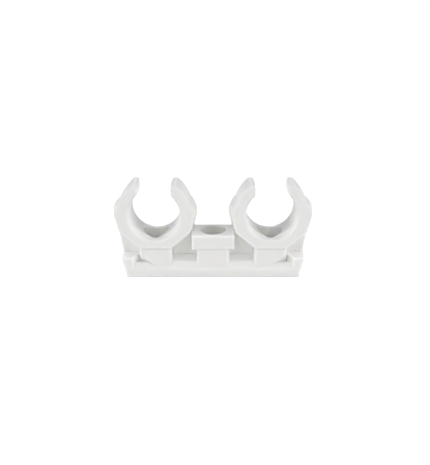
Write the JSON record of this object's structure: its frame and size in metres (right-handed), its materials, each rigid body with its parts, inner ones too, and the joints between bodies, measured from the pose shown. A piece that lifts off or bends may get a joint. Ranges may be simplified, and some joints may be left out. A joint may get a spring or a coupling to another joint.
{
  "type": "double pipe clip",
  "caption": "One-piece moulded snap clip that holds a pair of parallel pipes side by side off a wall, with screw holes down through the base.",
  "frame": {"origin": "middle of the flat underside that lies on the wall", "axes": "+X along the row of clips, +Y along the pipes, +Z away from the wall"},
  "size_m": [0.0898, 0.0152, 0.0434],
  "materials": {
    "white_plastic": "white moulded polypropylene, satin"
  },
  "bodies": {
    "root": {"double_pipe_clip": "white_plastic"}
  },
  "joints": []
}
